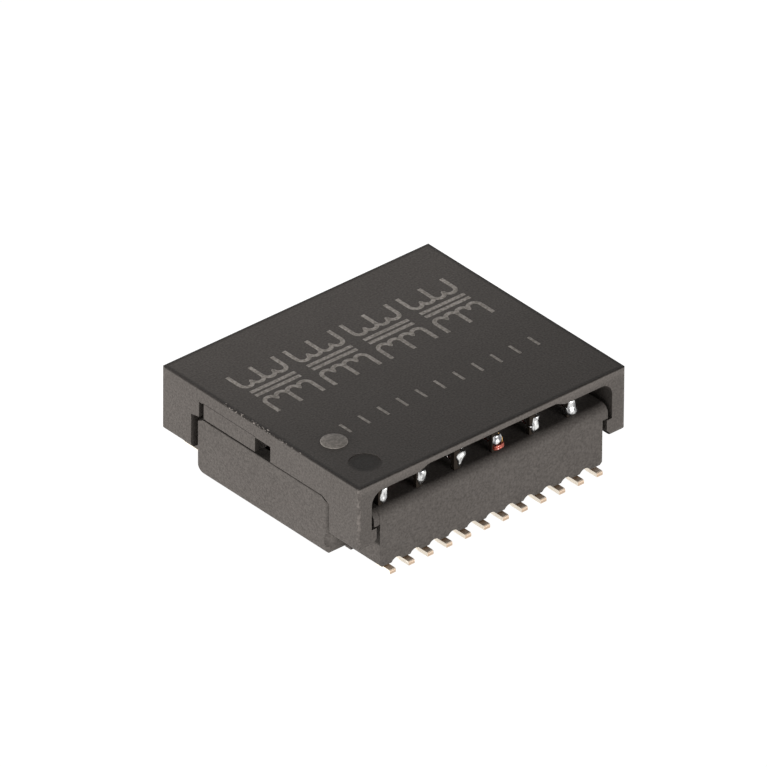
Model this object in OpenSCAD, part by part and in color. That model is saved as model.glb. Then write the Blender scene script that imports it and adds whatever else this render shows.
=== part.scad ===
// Surface-mount transformer module: a moulded header with two rows of leads moulded in, toroids wound
// with enamelled wire in its tub, and a cover that clips on with four hooked legs.
// Millimetres, +Z up, leads along X. The origin is the middle of the footprint on the board.
// The outer shape is the same after half a turn about Z, apart from the ejector mark on the top.

/* [Leads] */
// Distance between neighbouring leads
lead_pitch = 1.27; // [1.2:0.01:1.4]
// Channels in the module, each with three leads on either side
channels = 4; // [2:1:4]
// Width of a lead
lead_w = 0.4; // [0.3:0.01:0.5]
// Thickness of the lead strip
lead_t = 0.23; // [0.15:0.01:0.28]
// Inside radius of each bend in a lead
bend_r = 0.07; // [0.04:0.01:0.12]
// How far the feet reach past the lead blocks
foot_reach = 0.42; // [0.3:0.01:1]
// Rounding at the tip of a foot
toe_r = 0.1; // [0.02:0.01:0.14]
// How far the outer posts stand inside the lead block's face
post_inset = 0.62; // [0.5:0.01:0.8]
// Distance between the outer and the inner row of posts
post_row_gap = 1.35; // [1.2:0.01:1.5]
// Height above the block's underside at which the inner leads step inwards
step_rise = 1.6; // [1:0.05:2.4]
// Air left between the tops of the posts and the plate
post_clear = 0.25; // [0.15:0.01:0.4]

/* [Header] */
// Distance across the outer faces of the two lead blocks
block_w = 15.24; // [15:0.01:17]
// Height of the lead blocks
block_h = 3.4; // [3:0.05:4.5]
// Length of block beyond the last lead's middle
block_end = 0.515; // [0.4:0.005:0.8]
// Rounding along the top outer edge of a lead block
block_top_r = 0.5; // [0.1:0.01:0.6]
// Rounding along the other outer edges of a lead block
block_edge_r = 0.03; // [0.02:0.01:0.2]
// Bevel at the lower corners of a lead block's ends
block_bevel = 0.16; // [0.1:0.01:0.35]
// Length of the flange that the cover's hooks catch
flange_l = 0.38; // [0.3:0.01:0.7]
// Height of that flange
flange_h = 0.79; // [0.6:0.01:1]
// Width of the scallop between two leads
scallop_w = 0.72; // [0.6:0.01:0.85]
// Height of the scallop
scallop_h = 0.22; // [0.1:0.01:0.3]
// How far the scallops reach in from the block's face
scallop_l = 1; // [0.8:0.05:1.4]
// Width of the tub between the lead blocks, over its walls
tub_w = 10.36; // [10.2:0.01:10.8]
// How far the tub's floor stands above the lead blocks' undersides
tub_lift = 0.2; // [0.1:0.01:0.3]
// Thickness of the tub's floor
tub_floor = 0.45; // [0.3:0.01:0.6]
// Thickness of the tub's side walls
tub_side = 0.5; // [0.4:0.01:0.6]
// Thickness of the tub's end panels
panel_t = 0.75; // [0.6:0.01:0.8]
// How far the end panels rise above the lead blocks
panel_rise = 0.05; // [0.05:0.01:0.4]
// Length of the sloped corner at the top of an end panel
panel_slope_l = 0.55; // [0.3:0.01:0.8]
// Drop of that corner
panel_slope_h = 0.3; // [0.1:0.01:0.4]
// Rounding at the lower corner of an end panel, away from the gate
panel_r = 0.9; // [0.3:0.01:1]
// Rounding at the lower corner on the gate's side
gate_side_r = 0.12; // [0.05:0.01:0.3]
// Rounding of the tub's upright corners
tub_corner_r = 0.3; // [0.1:0.01:0.5]
// Rounding along the bottom edge of an end panel
tub_edge_r = 0.15; // [0.05:0.01:0.3]
// Rounding along the top edge of an end panel
panel_top_r = 0.06; // [0.02:0.01:0.1]
// Radius of the scoop that the moulding gate leaves at two of the tub's corners
scar_r = 0.5; // [0.3:0.01:0.6]
// Depth of that scoop
scar_depth = 0.2; // [0.05:0.01:0.25]
// Height of the scoop's middle above the underside of the tub
scar_rise = 0.76; // [0.6:0.01:1.5]
// Diameter of the ejector marks under the tub
ejector_d = 1.4; // [0.8:0.1:2]

/* [Cover] */
// Height of the skirt across each end, from the seam to the top
skirt_h = 1.71; // [1.6:0.01:2.6]
// Thickness of the top plate
plate_t = 0.6; // [0.5:0.01:0.7]
// Thickness left where the plate is relieved over the posts
relief_t = 0.35; // [0.25:0.01:0.45]
// Length of the relief at its full depth
relief_l = 8.6; // [6:0.1:10]
// Length of the slope at each end of the relief
relief_slope = 0.6; // [0.3:0.05:1]
// How far the relief reaches in from the plate's edge
relief_w = 2.6; // [2.4:0.05:3]
// Thickness of the legs and the skirts
leg_t = 0.88; // [0.7:0.01:1.1]
// Rounding between a leg and the plate
leg_fillet_r = 0.75; // [0.4:0.01:0.9]
// Height of a hook's upright face
hook_h = 0.62; // [0.4:0.01:0.8]
// Height of the bevel under a hook
hook_bevel_h = 0.48; // [0.3:0.01:0.7]
// Length of that bevel
hook_bevel_l = 0.47; // [0.3:0.01:0.6]
// How far the plate overhangs the lead blocks
overhang = 0.04; // [0:0.01:0.2]
// Rounding of the edges round the top
top_edge_r = 0.07; // [0.03:0.01:0.2]
// Rounding of the upright corners
cover_corner_r = 0.12; // [0.03:0.01:0.3]
// Rounding at the outer corners of the legs' feet
leg_foot_r = 0.35; // [0.1:0.01:0.4]
// Width of the window in each skirt
window_w = 1.25; // [0.8:0.01:2]
// Height of skirt left above the window, the tongue and the slot
window_drop = 0.79; // [0.7:0.01:1]
// Distance of the window's middle from the skirt's middle
window_off = 0.17; // [0:0.01:0.5]
// Width of the tongue beside the window
tongue_w = 4; // [2.5:0.05:4.05]
// How far the tongue lies below the skirt's face
tongue_sunk = 0.05; // [0.02:0.01:0.1]
// Width of the slot beyond the tongue
slot_w = 0.32; // [0.2:0.01:0.45]
// Height of the score along the tongue's upper edge
score_h = 0.04; // [0.02:0.01:0.08]
// Depth of that score
score_t = 0.2; // [0.1:0.01:0.3]
// Diameter of the ejector mark on the top
mark_d = 1.72; // [1:0.01:2.5]
// Depth of the ejector marks on the top and under the tub
mark_depth = 0.03; // [0.02:0.01:0.1]

/* [Fits] */
// Air in the seam between the end panels and the skirts
seam_gap = 0.2; // [0.02:0.01:0.25]
// Drop of the cover's cut-out at the corner where it stands clear of the panel's slope
clear_slope_h = 0.1; // [0:0.01:0.3]
// How far the end panels stand inside the cover's end faces
panel_inset = 0.13; // [0.05:0.01:0.3]
// Air between the legs and the tub
leg_gap = 0.2; // [0.1:0.01:0.3]
// Air between the legs and the flanges
flange_gap = 0.22; // [0.05:0.01:0.3]
// Air between the hooks and the ends of the lead blocks
hook_gap = 0.26; // [0.1:0.01:0.3]
// Air between the hooks and the undersides of the flanges
catch_gap = 0.05; // [0.02:0.01:0.1]

/* [Magnetics] */
// Outside diameter of a transformer core
transformer_od = 2.9; // [2.4:0.05:2.95]
// Bore of a transformer core
transformer_id = 1.4; // [1.3:0.05:1.6]
// Height of a transformer core
transformer_h = 1.5; // [1:0.05:1.8]
// Turns on a transformer core
transformer_turns = 9; // [5:1:9]
// Outside diameter of a choke core
choke_od = 2.5; // [2.2:0.05:2.9]
// Bore of a choke core
choke_id = 1.3; // [1.2:0.05:1.5]
// Height of a choke core
choke_h = 1.1; // [0.8:0.05:1.8]
// Turns on a choke core
choke_turns = 7; // [4:1:8]
// Diameter of the twisted strand that is wound on the cores
strand_d = 0.26; // [0.15:0.01:0.3]
// Air between a core and its turns
wind_gap = 0.02; // [0.01:0.01:0.05]
// Angle of each core that its turns leave free
bare_angle = 70; // [40:5:120]
// Thickness of the silicone under the wound cores
bed_t = 0.3; // [0.1:0.05:0.4]
// How deep the wound cores sit in the silicone
bed_wrap = 0.5; // [0.2:0.05:0.8]
// Diameter of a single enamelled wire
wire_d = 0.13; // [0.08:0.01:0.18]
// Widest radius of a solder joint
solder_r = 0.34; // [0.3:0.01:0.4]
// Radius of a solder joint at its top
solder_top_r = 0.27; // [0.25:0.01:0.3]
// Air between a solder joint and the lead block
solder_lift = 0.05; // [0.02:0.01:0.15]

/* [Hidden] */
$fn = 64;
over = 0.1; // how far a cut runs past the solid
leads_per_channel = 3;
side_leads = channels * leads_per_channel;
lead_count = 2 * side_leads;

// Heights, from the board up
block_z0 = lead_t + bend_r;
block_z1 = block_z0 + block_h;
tub_z0 = block_z0 + tub_lift;
cavity_z0 = tub_z0 + tub_floor;
panel_z1 = block_z1 + panel_rise;
skirt_z0 = panel_z1 + seam_gap;
cover_z1 = skirt_z0 + skirt_h;
plate_z0 = cover_z1 - plate_t;
post_z1 = plate_z0 - post_clear;
flange_z0 = block_z1 - flange_h;
hook_z1 = flange_z0 - catch_gap;
hook_z0 = hook_z1 - hook_h;
leg_z0 = hook_z0 - hook_bevel_h;
solder_z0 = block_z1 + solder_lift;
solder_z1 = post_z1 - lead_t / 2;

// Half lengths along X
block_x = (side_leads - 1) * lead_pitch / 2 + block_end;
flange_x = block_x + flange_l;
leg_in_x = flange_x + flange_gap;
cover_x = leg_in_x + leg_t;
panel_x = cover_x - panel_inset;
cavity_x = panel_x - panel_t;
hook_x = block_x + hook_gap;

// Half widths along Y
block_y = block_w / 2;
cover_y = block_y + overhang;
tub_y = tub_w / 2;
cavity_y = tub_y - tub_side;
leg_in_y = tub_y + leg_gap;
post_y = block_y - post_inset;
inner_post_y = post_y - post_row_gap;
toe_y = block_y + foot_reach;

// The ejector mark lies this far in from the cover's corner
mark_x = 1.95;
mark_y = 1.78;

// The wound cores stand on edge in the silicone, transformers along the back and chokes along the front
channel_pitch = leads_per_channel * lead_pitch;
core_y = cavity_y / 2;
transformer_r = transformer_od / 2 + wind_gap + strand_d;
choke_r = choke_od / 2 + wind_gap + strand_d;
transformer_z = cavity_z0 + bed_t + transformer_r;
choke_z = cavity_z0 + bed_t + choke_r;
touch = 0.02; // air between pieces that rest against each other, so that round faces never overlap

function two_digits(n) = n < 10 ? str("0", n) : str(n);
function lead_x(k) = (k - (side_leads - 1) / 2) * lead_pitch;
function channel_x(c) = (c - (channels - 1) / 2) * channel_pitch;
function post_row(k) = k % 2 == 0 ? post_y : inner_post_y;

// ---- Shared shapes ----

// What rounding takes off a square corner that points away from +X +Y
module corner_waste(r) {
    difference() {
        translate([-over, -over]) square(r + over);
        translate([r, r]) circle(r);
    }
}

// A centred rectangle that stands on the X axis, with its own rounding at the bottom and at the top
module rounded_panel(w, h, bottom_r, top_r) {
    difference() {
        translate([-w / 2, 0]) square([w, h]);
        for (side = [0, 1]) mirror([side, 0]) {
            translate([-w / 2, 0]) corner_waste(bottom_r);
            translate([-w / 2, h]) mirror([0, 1]) corner_waste(top_r);
        }
    }
}

// A centred rectangle with one rounding on all four corners
module rounded_plan(l, w, r) {
    translate([0, -w / 2]) rounded_panel(l, w, r, r);
}

// Extrudes a shape drawn in X and Z along Y, over y0 to y1
module along_y(y0, y1) {
    translate([0, y1, 0]) rotate([90, 0, 0]) linear_extrude(y1 - y0) children();
}

// Extrudes a shape drawn in Y and Z along X, over x0 to x1
module along_x(x0, x1) {
    translate([x0, 0, 0]) rotate([90, 0, 90]) linear_extrude(x1 - x0) children();
}

// A block that is rounded as seen from above, from the side and from the end
module rounded_block(half_l, half_w, z0, z1, corner_r, foot_r, crown_r) {
    translate([0, 0, z0]) intersection() {
        linear_extrude(z1 - z0) rounded_plan(2 * half_l, 2 * half_w, corner_r);
        along_y(-half_w, half_w) rounded_panel(2 * half_l, z1 - z0, foot_r, crown_r);
        along_x(-half_l, half_l) rounded_panel(2 * half_w, z1 - z0, foot_r, crown_r);
    }
}

// Both ends of the part, or both sides: the second copy is turned half a turn about Z
module both_ways() {
    for (turn = [0, 180]) rotate([0, 0, turn]) children();
}

// All four corners, mirrored
module four_corners() {
    for (mx = [0, 1], my = [0, 1]) mirror([mx, 0, 0]) mirror([0, my, 0]) children();
}

// ---- Leads ----

// A quarter of a ring, in the quadrant that sx and sy give
module quarter_bend(sx, sy) {
    intersection() {
        difference() {
            circle(bend_r + lead_t);
            circle(bend_r);
        }
        scale([sx, sy]) square(bend_r + lead_t);
    }
}

// The foot, the bend and the shank up to z1, drawn with the outside of the part to the right
module foot_and_shank(z1) {
    shank_y0 = post_y - lead_t / 2;
    bend_y = post_y + lead_t / 2 + bend_r;
    difference() {
        translate([bend_y, 0]) square([toe_y - bend_y, lead_t]);
        translate([toe_y, lead_t]) rotate(180) corner_waste(toe_r);
    }
    translate([bend_y, lead_t + bend_r]) mirror([1, 0]) mirror([0, 1]) quarter_bend(1, 1);
    translate([shank_y0, lead_t + bend_r]) square([lead_t, z1 - lead_t - bend_r]);
}

module outer_lead_outline() {
    foot_and_shank(post_z1);
}

// The shank steps inwards inside the block, to the inner row of posts
module inner_lead_outline() {
    step_z0 = block_z0 + step_rise;
    low_y = post_y - lead_t / 2 - bend_r;
    high_y = inner_post_y + lead_t / 2 + bend_r;
    run_z0 = step_z0 + bend_r;
    rise_z0 = run_z0 + lead_t + bend_r;
    foot_and_shank(step_z0);
    translate([low_y, step_z0]) quarter_bend(1, 1);
    translate([high_y, run_z0]) square([low_y - high_y, lead_t]);
    translate([high_y, rise_z0]) mirror([1, 0]) mirror([0, 1]) quarter_bend(1, 1);
    translate([inner_post_y - lead_t / 2, rise_z0]) square([lead_t, post_z1 - rise_z0]);
}

// Lead k of one side, counted from 0, with the outside of the part towards -Y
module side_lead(k) {
    translate([lead_x(k), 0, 0]) mirror([0, 1, 0]) along_x(-lead_w / 2, lead_w / 2)
        if (k % 2 == 0) outer_lead_outline();
        else inner_lead_outline();
}

// Leads 1 onwards run along the front, and the rest run back along the other side
module lead(n) {
    color("#c9c2b4")
        if (n <= side_leads) side_lead(n - 1);
        else rotate([0, 0, 180]) side_lead(n - 1 - side_leads);
}

// ---- Header ----

module tub() {
    difference() {
        tub_block();
        for (side = [0, 1]) mirror([0, side, 0]) panel_slope();
        translate([0, 0, cavity_z0]) linear_extrude(cover_z1)
            rounded_plan(2 * cavity_x, 2 * cavity_y, tub_corner_r);
        translate([-cavity_x, -tub_y - over, block_z1])
            cube([2 * cavity_x, 2 * (tub_y + over), panel_rise + over]);
        both_ways() gate_scar();
        four_corners() translate([cavity_x / 2, cavity_y / 2, tub_z0 - over])
            cylinder(d = ejector_d, h = mark_depth + over);
    }
}

// The tub before it is hollowed. Past the lead blocks its lower edges are round, less so by the gates.
module tub_block() {
    h = panel_z1 - tub_z0;
    difference() {
        translate([0, 0, tub_z0]) intersection() {
            linear_extrude(h) rounded_plan(2 * panel_x, 2 * tub_y, tub_corner_r);
            along_y(-tub_y, tub_y) rounded_panel(2 * panel_x, h, tub_edge_r, panel_top_r);
        }
        both_ways() along_x(-panel_x - over, -block_x) {
            translate([-tub_y, tub_z0]) corner_waste(gate_side_r);
            translate([tub_y, tub_z0]) mirror([1, 0]) corner_waste(panel_r);
        }
    }
}

// What slopes the top corners of the end panels
module panel_slope() {
    along_x(-panel_x - over, panel_x + over) polygon([
        [-tub_y - over, panel_z1 + over], [-tub_y - over, panel_z1 - panel_slope_h],
        [-tub_y, panel_z1 - panel_slope_h], [-tub_y + panel_slope_l, panel_z1],
        [-tub_y + panel_slope_l, panel_z1 + over]
    ]);
}

// The ball that scoops out the gate's scar, low on the tub's rounded corner
module gate_scar() {
    out = scar_r - scar_depth + tub_corner_r;
    translate([-panel_x + tub_corner_r, -tub_y + tub_corner_r, tub_z0 + scar_rise])
        rotate([0, 0, 45]) translate([-out, 0, 0]) sphere(scar_r);
}

// One lead block, on the -Y side, with its flanges and the scallops between its leads
module lead_block() {
    difference() {
        union() {
            along_x(-block_x, block_x) lead_block_outline();
            mirrored_flanges();
        }
        for (k = [0:side_leads - 2]) translate([(lead_x(k) + lead_x(k + 1)) / 2, 0, 0]) scallop();
        for (side = [0, 1]) mirror([side, 0, 0]) block_end_bevel();
    }
}

module lead_block_outline() {
    root_y = cavity_y + tub_side / 2;
    difference() {
        translate([-block_y, block_z0]) square([block_y - root_y, block_h]);
        translate([-block_y, block_z1]) mirror([0, 1]) corner_waste(block_top_r);
        translate([-block_y, block_z0]) corner_waste(block_edge_r);
    }
}

module mirrored_flanges() {
    for (side = [0, 1]) mirror([side, 0, 0])
        along_x(block_x - over, flange_x) difference() {
            translate([-block_y + block_edge_r, flange_z0])
                square([block_y - block_edge_r - cavity_y - tub_side / 2, flange_h]);
            translate([-block_y + block_edge_r, block_z1]) mirror([0, 1]) corner_waste(block_top_r);
        }
}

module scallop() {
    r = (pow(scallop_w / 2, 2) + pow(scallop_h, 2)) / (2 * scallop_h);
    along_y(-block_y - over, -block_y + scallop_l)
        translate([0, block_z0 + scallop_h - r]) circle(r);
}

module block_end_bevel() {
    along_y(-block_y - over, -leg_in_y) polygon([
        [block_x - block_bevel - over, block_z0 - over],
        [block_x + over, block_z0 - over],
        [block_x + over, block_z0 + block_bevel + over]
    ]);
}

module header() {
    color("#3c3a38") difference() {
        union() {
            tub();
            both_ways() lead_block();
        }
        for (n = [1:lead_count]) lead(n);
    }
}

// ---- Cover ----

// The end wall: a skirt between two legs, cut out to clear the header's end panel. It follows the panel's
// slope closely on the gate's side.
module end_wall_outline() {
    slope_y = leg_in_y - panel_slope_l;
    slope_z0 = skirt_z0 - panel_slope_h;
    difference() {
        translate([-cover_y, leg_z0]) square([2 * cover_y, cover_z1 - leg_z0]);
        polygon([
            [-leg_in_y, leg_z0 - over], [-leg_in_y, skirt_z0 - clear_slope_h], [-slope_y, skirt_z0],
            [slope_y, skirt_z0], [leg_in_y, slope_z0], [leg_in_y, leg_z0 - over]
        ]);
    }
}

// The hook on a leg, seen from the lead side of the +X end
module hook_outline() {
    polygon([
        [cover_x - over, leg_z0], [hook_x + hook_bevel_l, leg_z0], [hook_x, hook_z0],
        [hook_x, hook_z1], [cover_x - over, hook_z1]
    ]);
}

// Fills the corner between a leg and the plate
module leg_fillet_outline() {
    difference() {
        translate([leg_in_x - leg_fillet_r, plate_z0 - leg_fillet_r]) square(leg_fillet_r + over);
        translate([leg_in_x - leg_fillet_r, plate_z0 - leg_fillet_r]) circle(leg_fillet_r);
    }
}

// The wall of a leg goes down this far on its own, and the fillet and the hook stand against it
module legs() {
    four_corners() along_y(leg_in_y, cover_y) {
        hook_outline();
        leg_fillet_outline();
    }
}

// Thins the plate from below along both lead sides
module plate_relief() {
    relief_z1 = cover_z1 - relief_t;
    half = relief_l / 2;
    both_ways() along_y(-cover_y - over, -cover_y + relief_w) polygon([
        [-half - relief_slope, plate_z0], [-half, relief_z1],
        [half, relief_z1], [half + relief_slope, plate_z0],
        [half + relief_slope, plate_z0 - over], [-half - relief_slope, plate_z0 - over]
    ]);
}

// The window, the sunk tongue beside it, the slot that frees the tongue and the score above it, in the
// -X skirt. The score opens into the window and the slot.
module skirt_cuts() {
    window_y1 = window_w / 2 - window_off;
    cut_h = skirt_h - window_drop + over;
    tongue_y1 = window_y1 + tongue_w;
    translate([-cover_x - over, window_y1 - window_w, skirt_z0 - over])
        cube([leg_t + 2 * over, window_w, cut_h]);
    translate([-cover_x - over, window_y1 - over, skirt_z0 - over])
        cube([tongue_sunk + over, tongue_w + 2 * over, cut_h]);
    translate([-cover_x - over, tongue_y1, skirt_z0 - over])
        cube([leg_t + 2 * over, slot_w, cut_h]);
    translate([-cover_x - over, window_y1 - score_h, cover_z1 - window_drop])
        cube([score_t + over, tongue_w + 2 * score_h, score_h]);
}

module cover() {
    color("#3f3d3b") difference() {
        intersection() {
            union() {
                translate([-cover_x, -cover_y, plate_z0]) cube([2 * cover_x, 2 * cover_y, plate_t]);
                both_ways() along_x(leg_in_x, cover_x) end_wall_outline();
                legs();
            }
            rounded_block(cover_x, cover_y, leg_z0, cover_z1, cover_corner_r, leg_foot_r, top_edge_r);
        }
        plate_relief();
        both_ways() skirt_cuts();
        translate([-cover_x + mark_x, -cover_y + mark_y, cover_z1 - mark_depth])
            cylinder(d = mark_d, h = mark_depth + over);
    }
}

// ---- Magnetics ----

// Silicone on the tub's floor, with a cradle for each wound core
module silicone_bed() {
    color("#d8d8cf") difference() {
        translate([0, 0, cavity_z0]) linear_extrude(bed_t + bed_wrap)
            rounded_plan(2 * cavity_x, 2 * cavity_y, tub_corner_r);
        for (c = [1:channels]) {
            at_channel(c, 1) cradle(transformer_r, transformer_h);
            at_channel(c, -1) cradle(choke_r, choke_h);
        }
    }
}

module cradle(wound_r, core_h) {
    half = core_h / 2 + wind_gap + strand_d + touch;
    along_x(-half, half) circle(wound_r + touch);
}

// A ferrite ring with its axis along X
module ring_core(od, id, h) {
    edge = 0.1;
    color("#4a4a4d") rotate([0, 90, 0]) rotate_extrude() translate([(od + id) / 4, -h / 2])
        rounded_panel((od - id) / 2, h, edge, edge);
}

// One turn of strand round a core's section, drawn in X and Z with the section's middle at the origin
module strand_turn(section_w, section_h) {
    r = strand_d / 2 + wind_gap;
    for (side = [0, 1]) {
        mirror([side, 0, 0]) translate([section_w / 2 + r, 0, 0])
            cylinder(d = strand_d, h = section_h, center = true);
        mirror([0, 0, side]) translate([0, 0, section_h / 2 + r]) rotate([0, 90, 0])
            cylinder(d = strand_d, h = section_w, center = true);
    }
    for (quarter = [0:3]) rotate([0, 90 * quarter, 0])
        translate(quarter % 2 == 0 ? [section_w / 2, 0, section_h / 2] : [section_h / 2, 0, section_w / 2])
            rotate([90, 0, 0]) rotate_extrude(angle = 90) translate([r, 0]) circle(d = strand_d);
}

// Turns spread evenly round a core, leaving bare_angle free at its foot
module winding(od, id, h, turns) {
    step = (360 - bare_angle) / (turns - 1);
    color("#a8441f") rotate([0, 90, 0]) for (t = [0:turns - 1])
        rotate([0, 0, bare_angle / 2 + step * t]) translate([(od + id) / 4, 0, 0])
            strand_turn((od - id) / 2, h);
}

// Places what channel c holds in the back row, 1, or in the front row, -1
module at_channel(c, row) {
    translate([channel_x(c - 1), row * core_y, row > 0 ? transformer_z : choke_z]) children();
}

module transformer_core(c) {
    at_channel(c, 1) ring_core(transformer_od, transformer_id, transformer_h);
}

module transformer_winding(c) {
    at_channel(c, 1) winding(transformer_od, transformer_id, transformer_h, transformer_turns);
}

module choke_core(c) {
    at_channel(c, -1) ring_core(choke_od, choke_id, choke_h);
}

module choke_winding(c) {
    at_channel(c, -1) winding(choke_od, choke_id, choke_h, choke_turns);
}

// ---- Solder and wires ----

// Solder round one post: a bulb at the foot of the wraps and a taper up the post
module solder_joint(k) {
    bulb_z = solder_z0 + solder_r;
    translate([lead_x(k), -post_row(k), 0]) rotate_extrude() intersection() {
        union() {
            translate([0, bulb_z]) circle(solder_r);
            polygon([[0, bulb_z], [solder_r, bulb_z], [solder_top_r, solder_z1], [0, solder_z1]]);
        }
        translate([0, solder_z0]) square([solder_r, solder_z1 - solder_z0]);
    }
}

// The joints of one side, which the leads' posts pass through
module solder_row() {
    for (k = [0:side_leads - 1]) difference() {
        solder_joint(k);
        side_lead(k);
    }
}

module front_solder_joints() {
    color("#d9dadc") solder_row();
}

module back_solder_joints() {
    color("#d9dadc") rotate([0, 0, 180]) solder_row();
}

// Points on a smooth curve through four control points
function bezier(p, t) =
    pow(1 - t, 3) * p[0] + 3 * pow(1 - t, 2) * t * p[1] + 3 * (1 - t) * t * t * p[2] + pow(t, 3) * p[3];
function unit(v) = v / norm(v);

// A wire along a curve that has four control points and never runs along X
module wire(control) {
    rings = 8;
    sides = 8;
    path = [for (i = [0:rings]) bezier(control, i / rings)];
    along = [for (i = [0:rings]) unit(path[min(i + 1, rings)] - path[max(i - 1, 0)])];
    across = [for (a = along) unit(cross(a, [1, 0, 0]))];
    points = [for (i = [0:rings], s = [0:sides - 1])
        let (a = 360 * s / sides)
        path[i] + wire_d / 2 * (cos(a) * across[i] + sin(a) * cross(along[i], across[i]))];
    walls = [for (i = [0:rings - 1], s = [0:sides - 1])
        let (n = (s + 1) % sides)
        [i * sides + s, i * sides + n, (i + 1) * sides + n, (i + 1) * sides + s]];
    ends = [[for (s = [sides - 1:-1:0]) s], [for (s = [0:sides - 1]) rings * sides + s]];
    polyhedron(points, concat(walls, ends), convexity = 4);
}

// A point just off a wound core, at an angle above the direction of -Y
function off_core(x, y, z, wound_r, angle) =
    let (r = wound_r + wire_d / 2 + touch) [x, y - r * cos(angle), z + r * sin(angle)];

// The wire from a wound core to post k of one side, over the tub's wall and the block
module lead_out(k, core_z, wound_r, core_h) {
    shoulder = 50;
    channel = floor(k / leads_per_channel);
    place = k % leads_per_channel - (leads_per_channel - 1) / 2;
    start = off_core(channel_x(channel) + place * core_h / 2, -core_y, core_z, wound_r, shoulder);
    end = [lead_x(k), -post_row(k) + solder_r + wire_d / 2 + touch, solder_z0 + solder_r];
    lift = [0, 0, 2 * wire_d];
    wire([start, start + lift + [0, -strand_d, 0], [lead_x(k), -tub_y, end[2]] + lift, end]);
}

module front_lead_outs() {
    color("#c2541f") for (k = [0:side_leads - 1]) lead_out(k, choke_z, choke_r, choke_h);
}

module back_lead_outs() {
    color("#c2541f") rotate([0, 0, 180])
        for (k = [0:side_leads - 1]) lead_out(k, transformer_z, transformer_r, transformer_h);
}

// Two wires a channel that carry on from the transformer to the choke
module link_wires() {
    shoulder = 120;
    color("#c2541f") for (c = [0:channels - 1], side = [-1, 1]) {
        x = channel_x(c) + side * choke_h / 2;
        start = off_core(x, core_y, transformer_z, transformer_r, 180 - shoulder);
        end = off_core(x, -core_y, choke_z, choke_r, shoulder);
        wire([start, start + [0, -strand_d, wire_d], end + [0, strand_d, 3 * wire_d], end]);
    }
}

// ---- Nodes ----

cover();
header();
silicone_bed();
for (n = [1:lead_count])
    lead(n);
for (c = [1:channels]) {
    transformer_core(c);
    transformer_winding(c);
    choke_core(c);
    choke_winding(c);
}
front_solder_joints();
back_solder_joints();
front_lead_outs();
back_lead_outs();
link_wires();
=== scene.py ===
"""Finishes a surface-mount transformer module: its moulded plastic, tinned leads, solder joints, enamelled
wire and markings, on a plain pale floor in soft studio light."""

import math
import random
from collections import namedtuple

import bpy
from mathutils import Matrix, Vector, noise


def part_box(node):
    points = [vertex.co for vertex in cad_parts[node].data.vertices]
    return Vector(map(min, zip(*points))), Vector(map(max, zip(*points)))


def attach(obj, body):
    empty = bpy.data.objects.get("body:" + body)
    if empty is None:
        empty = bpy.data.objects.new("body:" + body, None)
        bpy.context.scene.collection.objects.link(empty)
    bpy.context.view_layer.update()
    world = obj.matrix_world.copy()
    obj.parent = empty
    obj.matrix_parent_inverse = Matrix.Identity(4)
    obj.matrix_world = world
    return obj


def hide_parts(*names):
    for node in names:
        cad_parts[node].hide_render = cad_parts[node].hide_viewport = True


bl_info = {
    "name": "Transformer module finish",
    "version": (1, 0, 0),
    "blender": (4, 5, 0),
    "location": "View3D > Sidebar > Module",
    "description": "Solder joints, wire wraps, markings and finishes for a surface-mount transformer module",
    "category": "Object",
}

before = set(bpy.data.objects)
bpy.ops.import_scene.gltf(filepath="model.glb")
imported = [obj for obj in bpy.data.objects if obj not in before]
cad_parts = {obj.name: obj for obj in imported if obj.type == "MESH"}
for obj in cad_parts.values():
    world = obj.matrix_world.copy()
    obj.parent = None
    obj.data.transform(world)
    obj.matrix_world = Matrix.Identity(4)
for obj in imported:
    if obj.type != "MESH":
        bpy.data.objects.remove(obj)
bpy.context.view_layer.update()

MM = 0.001
PER_MM = 1 / MM
BODY = "root"
COVER_LOW, COVER_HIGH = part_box("cover")
LEADS = sorted(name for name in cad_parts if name.startswith("lead_"))
SIDE_LEADS = len(LEADS) // 2
LEADS_PER_CHANNEL = 3
CHANNELS = SIDE_LEADS // LEADS_PER_CHANNEL
SOLDER_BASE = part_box("front_solder_joints")[0].z
SOLDER_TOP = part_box("front_solder_joints")[1].z


def lead_middle(number):
    """The middle of a lead's post at its tip."""
    low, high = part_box(LEADS[number - 1])
    tip = [v.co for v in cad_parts[LEADS[number - 1]].data.vertices if v.co.z > high.z - 0.1 * MM]
    across = [co.y for co in tip]
    return Vector(((low.x + high.x) / 2, (min(across) + max(across)) / 2, high.z))


LEAD_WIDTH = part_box(LEADS[0])[1].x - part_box(LEADS[0])[0].x
LEAD_PITCH = lead_middle(2).x - lead_middle(1).x
# The ejector's mark lies this far in from the cover's corner beside lead one
EJECTOR_X, EJECTOR_Y = 1.95 * MM, 1.78 * MM
# The score above the tongue, where a line of painted shade runs: its depth below the top, its middle and its
# length
SCORE_DROP, SCORE_Y, SCORE_LENGTH = 0.77 * MM, 2.45 * MM, 4.1 * MM


# ---- Settings ----


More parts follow.
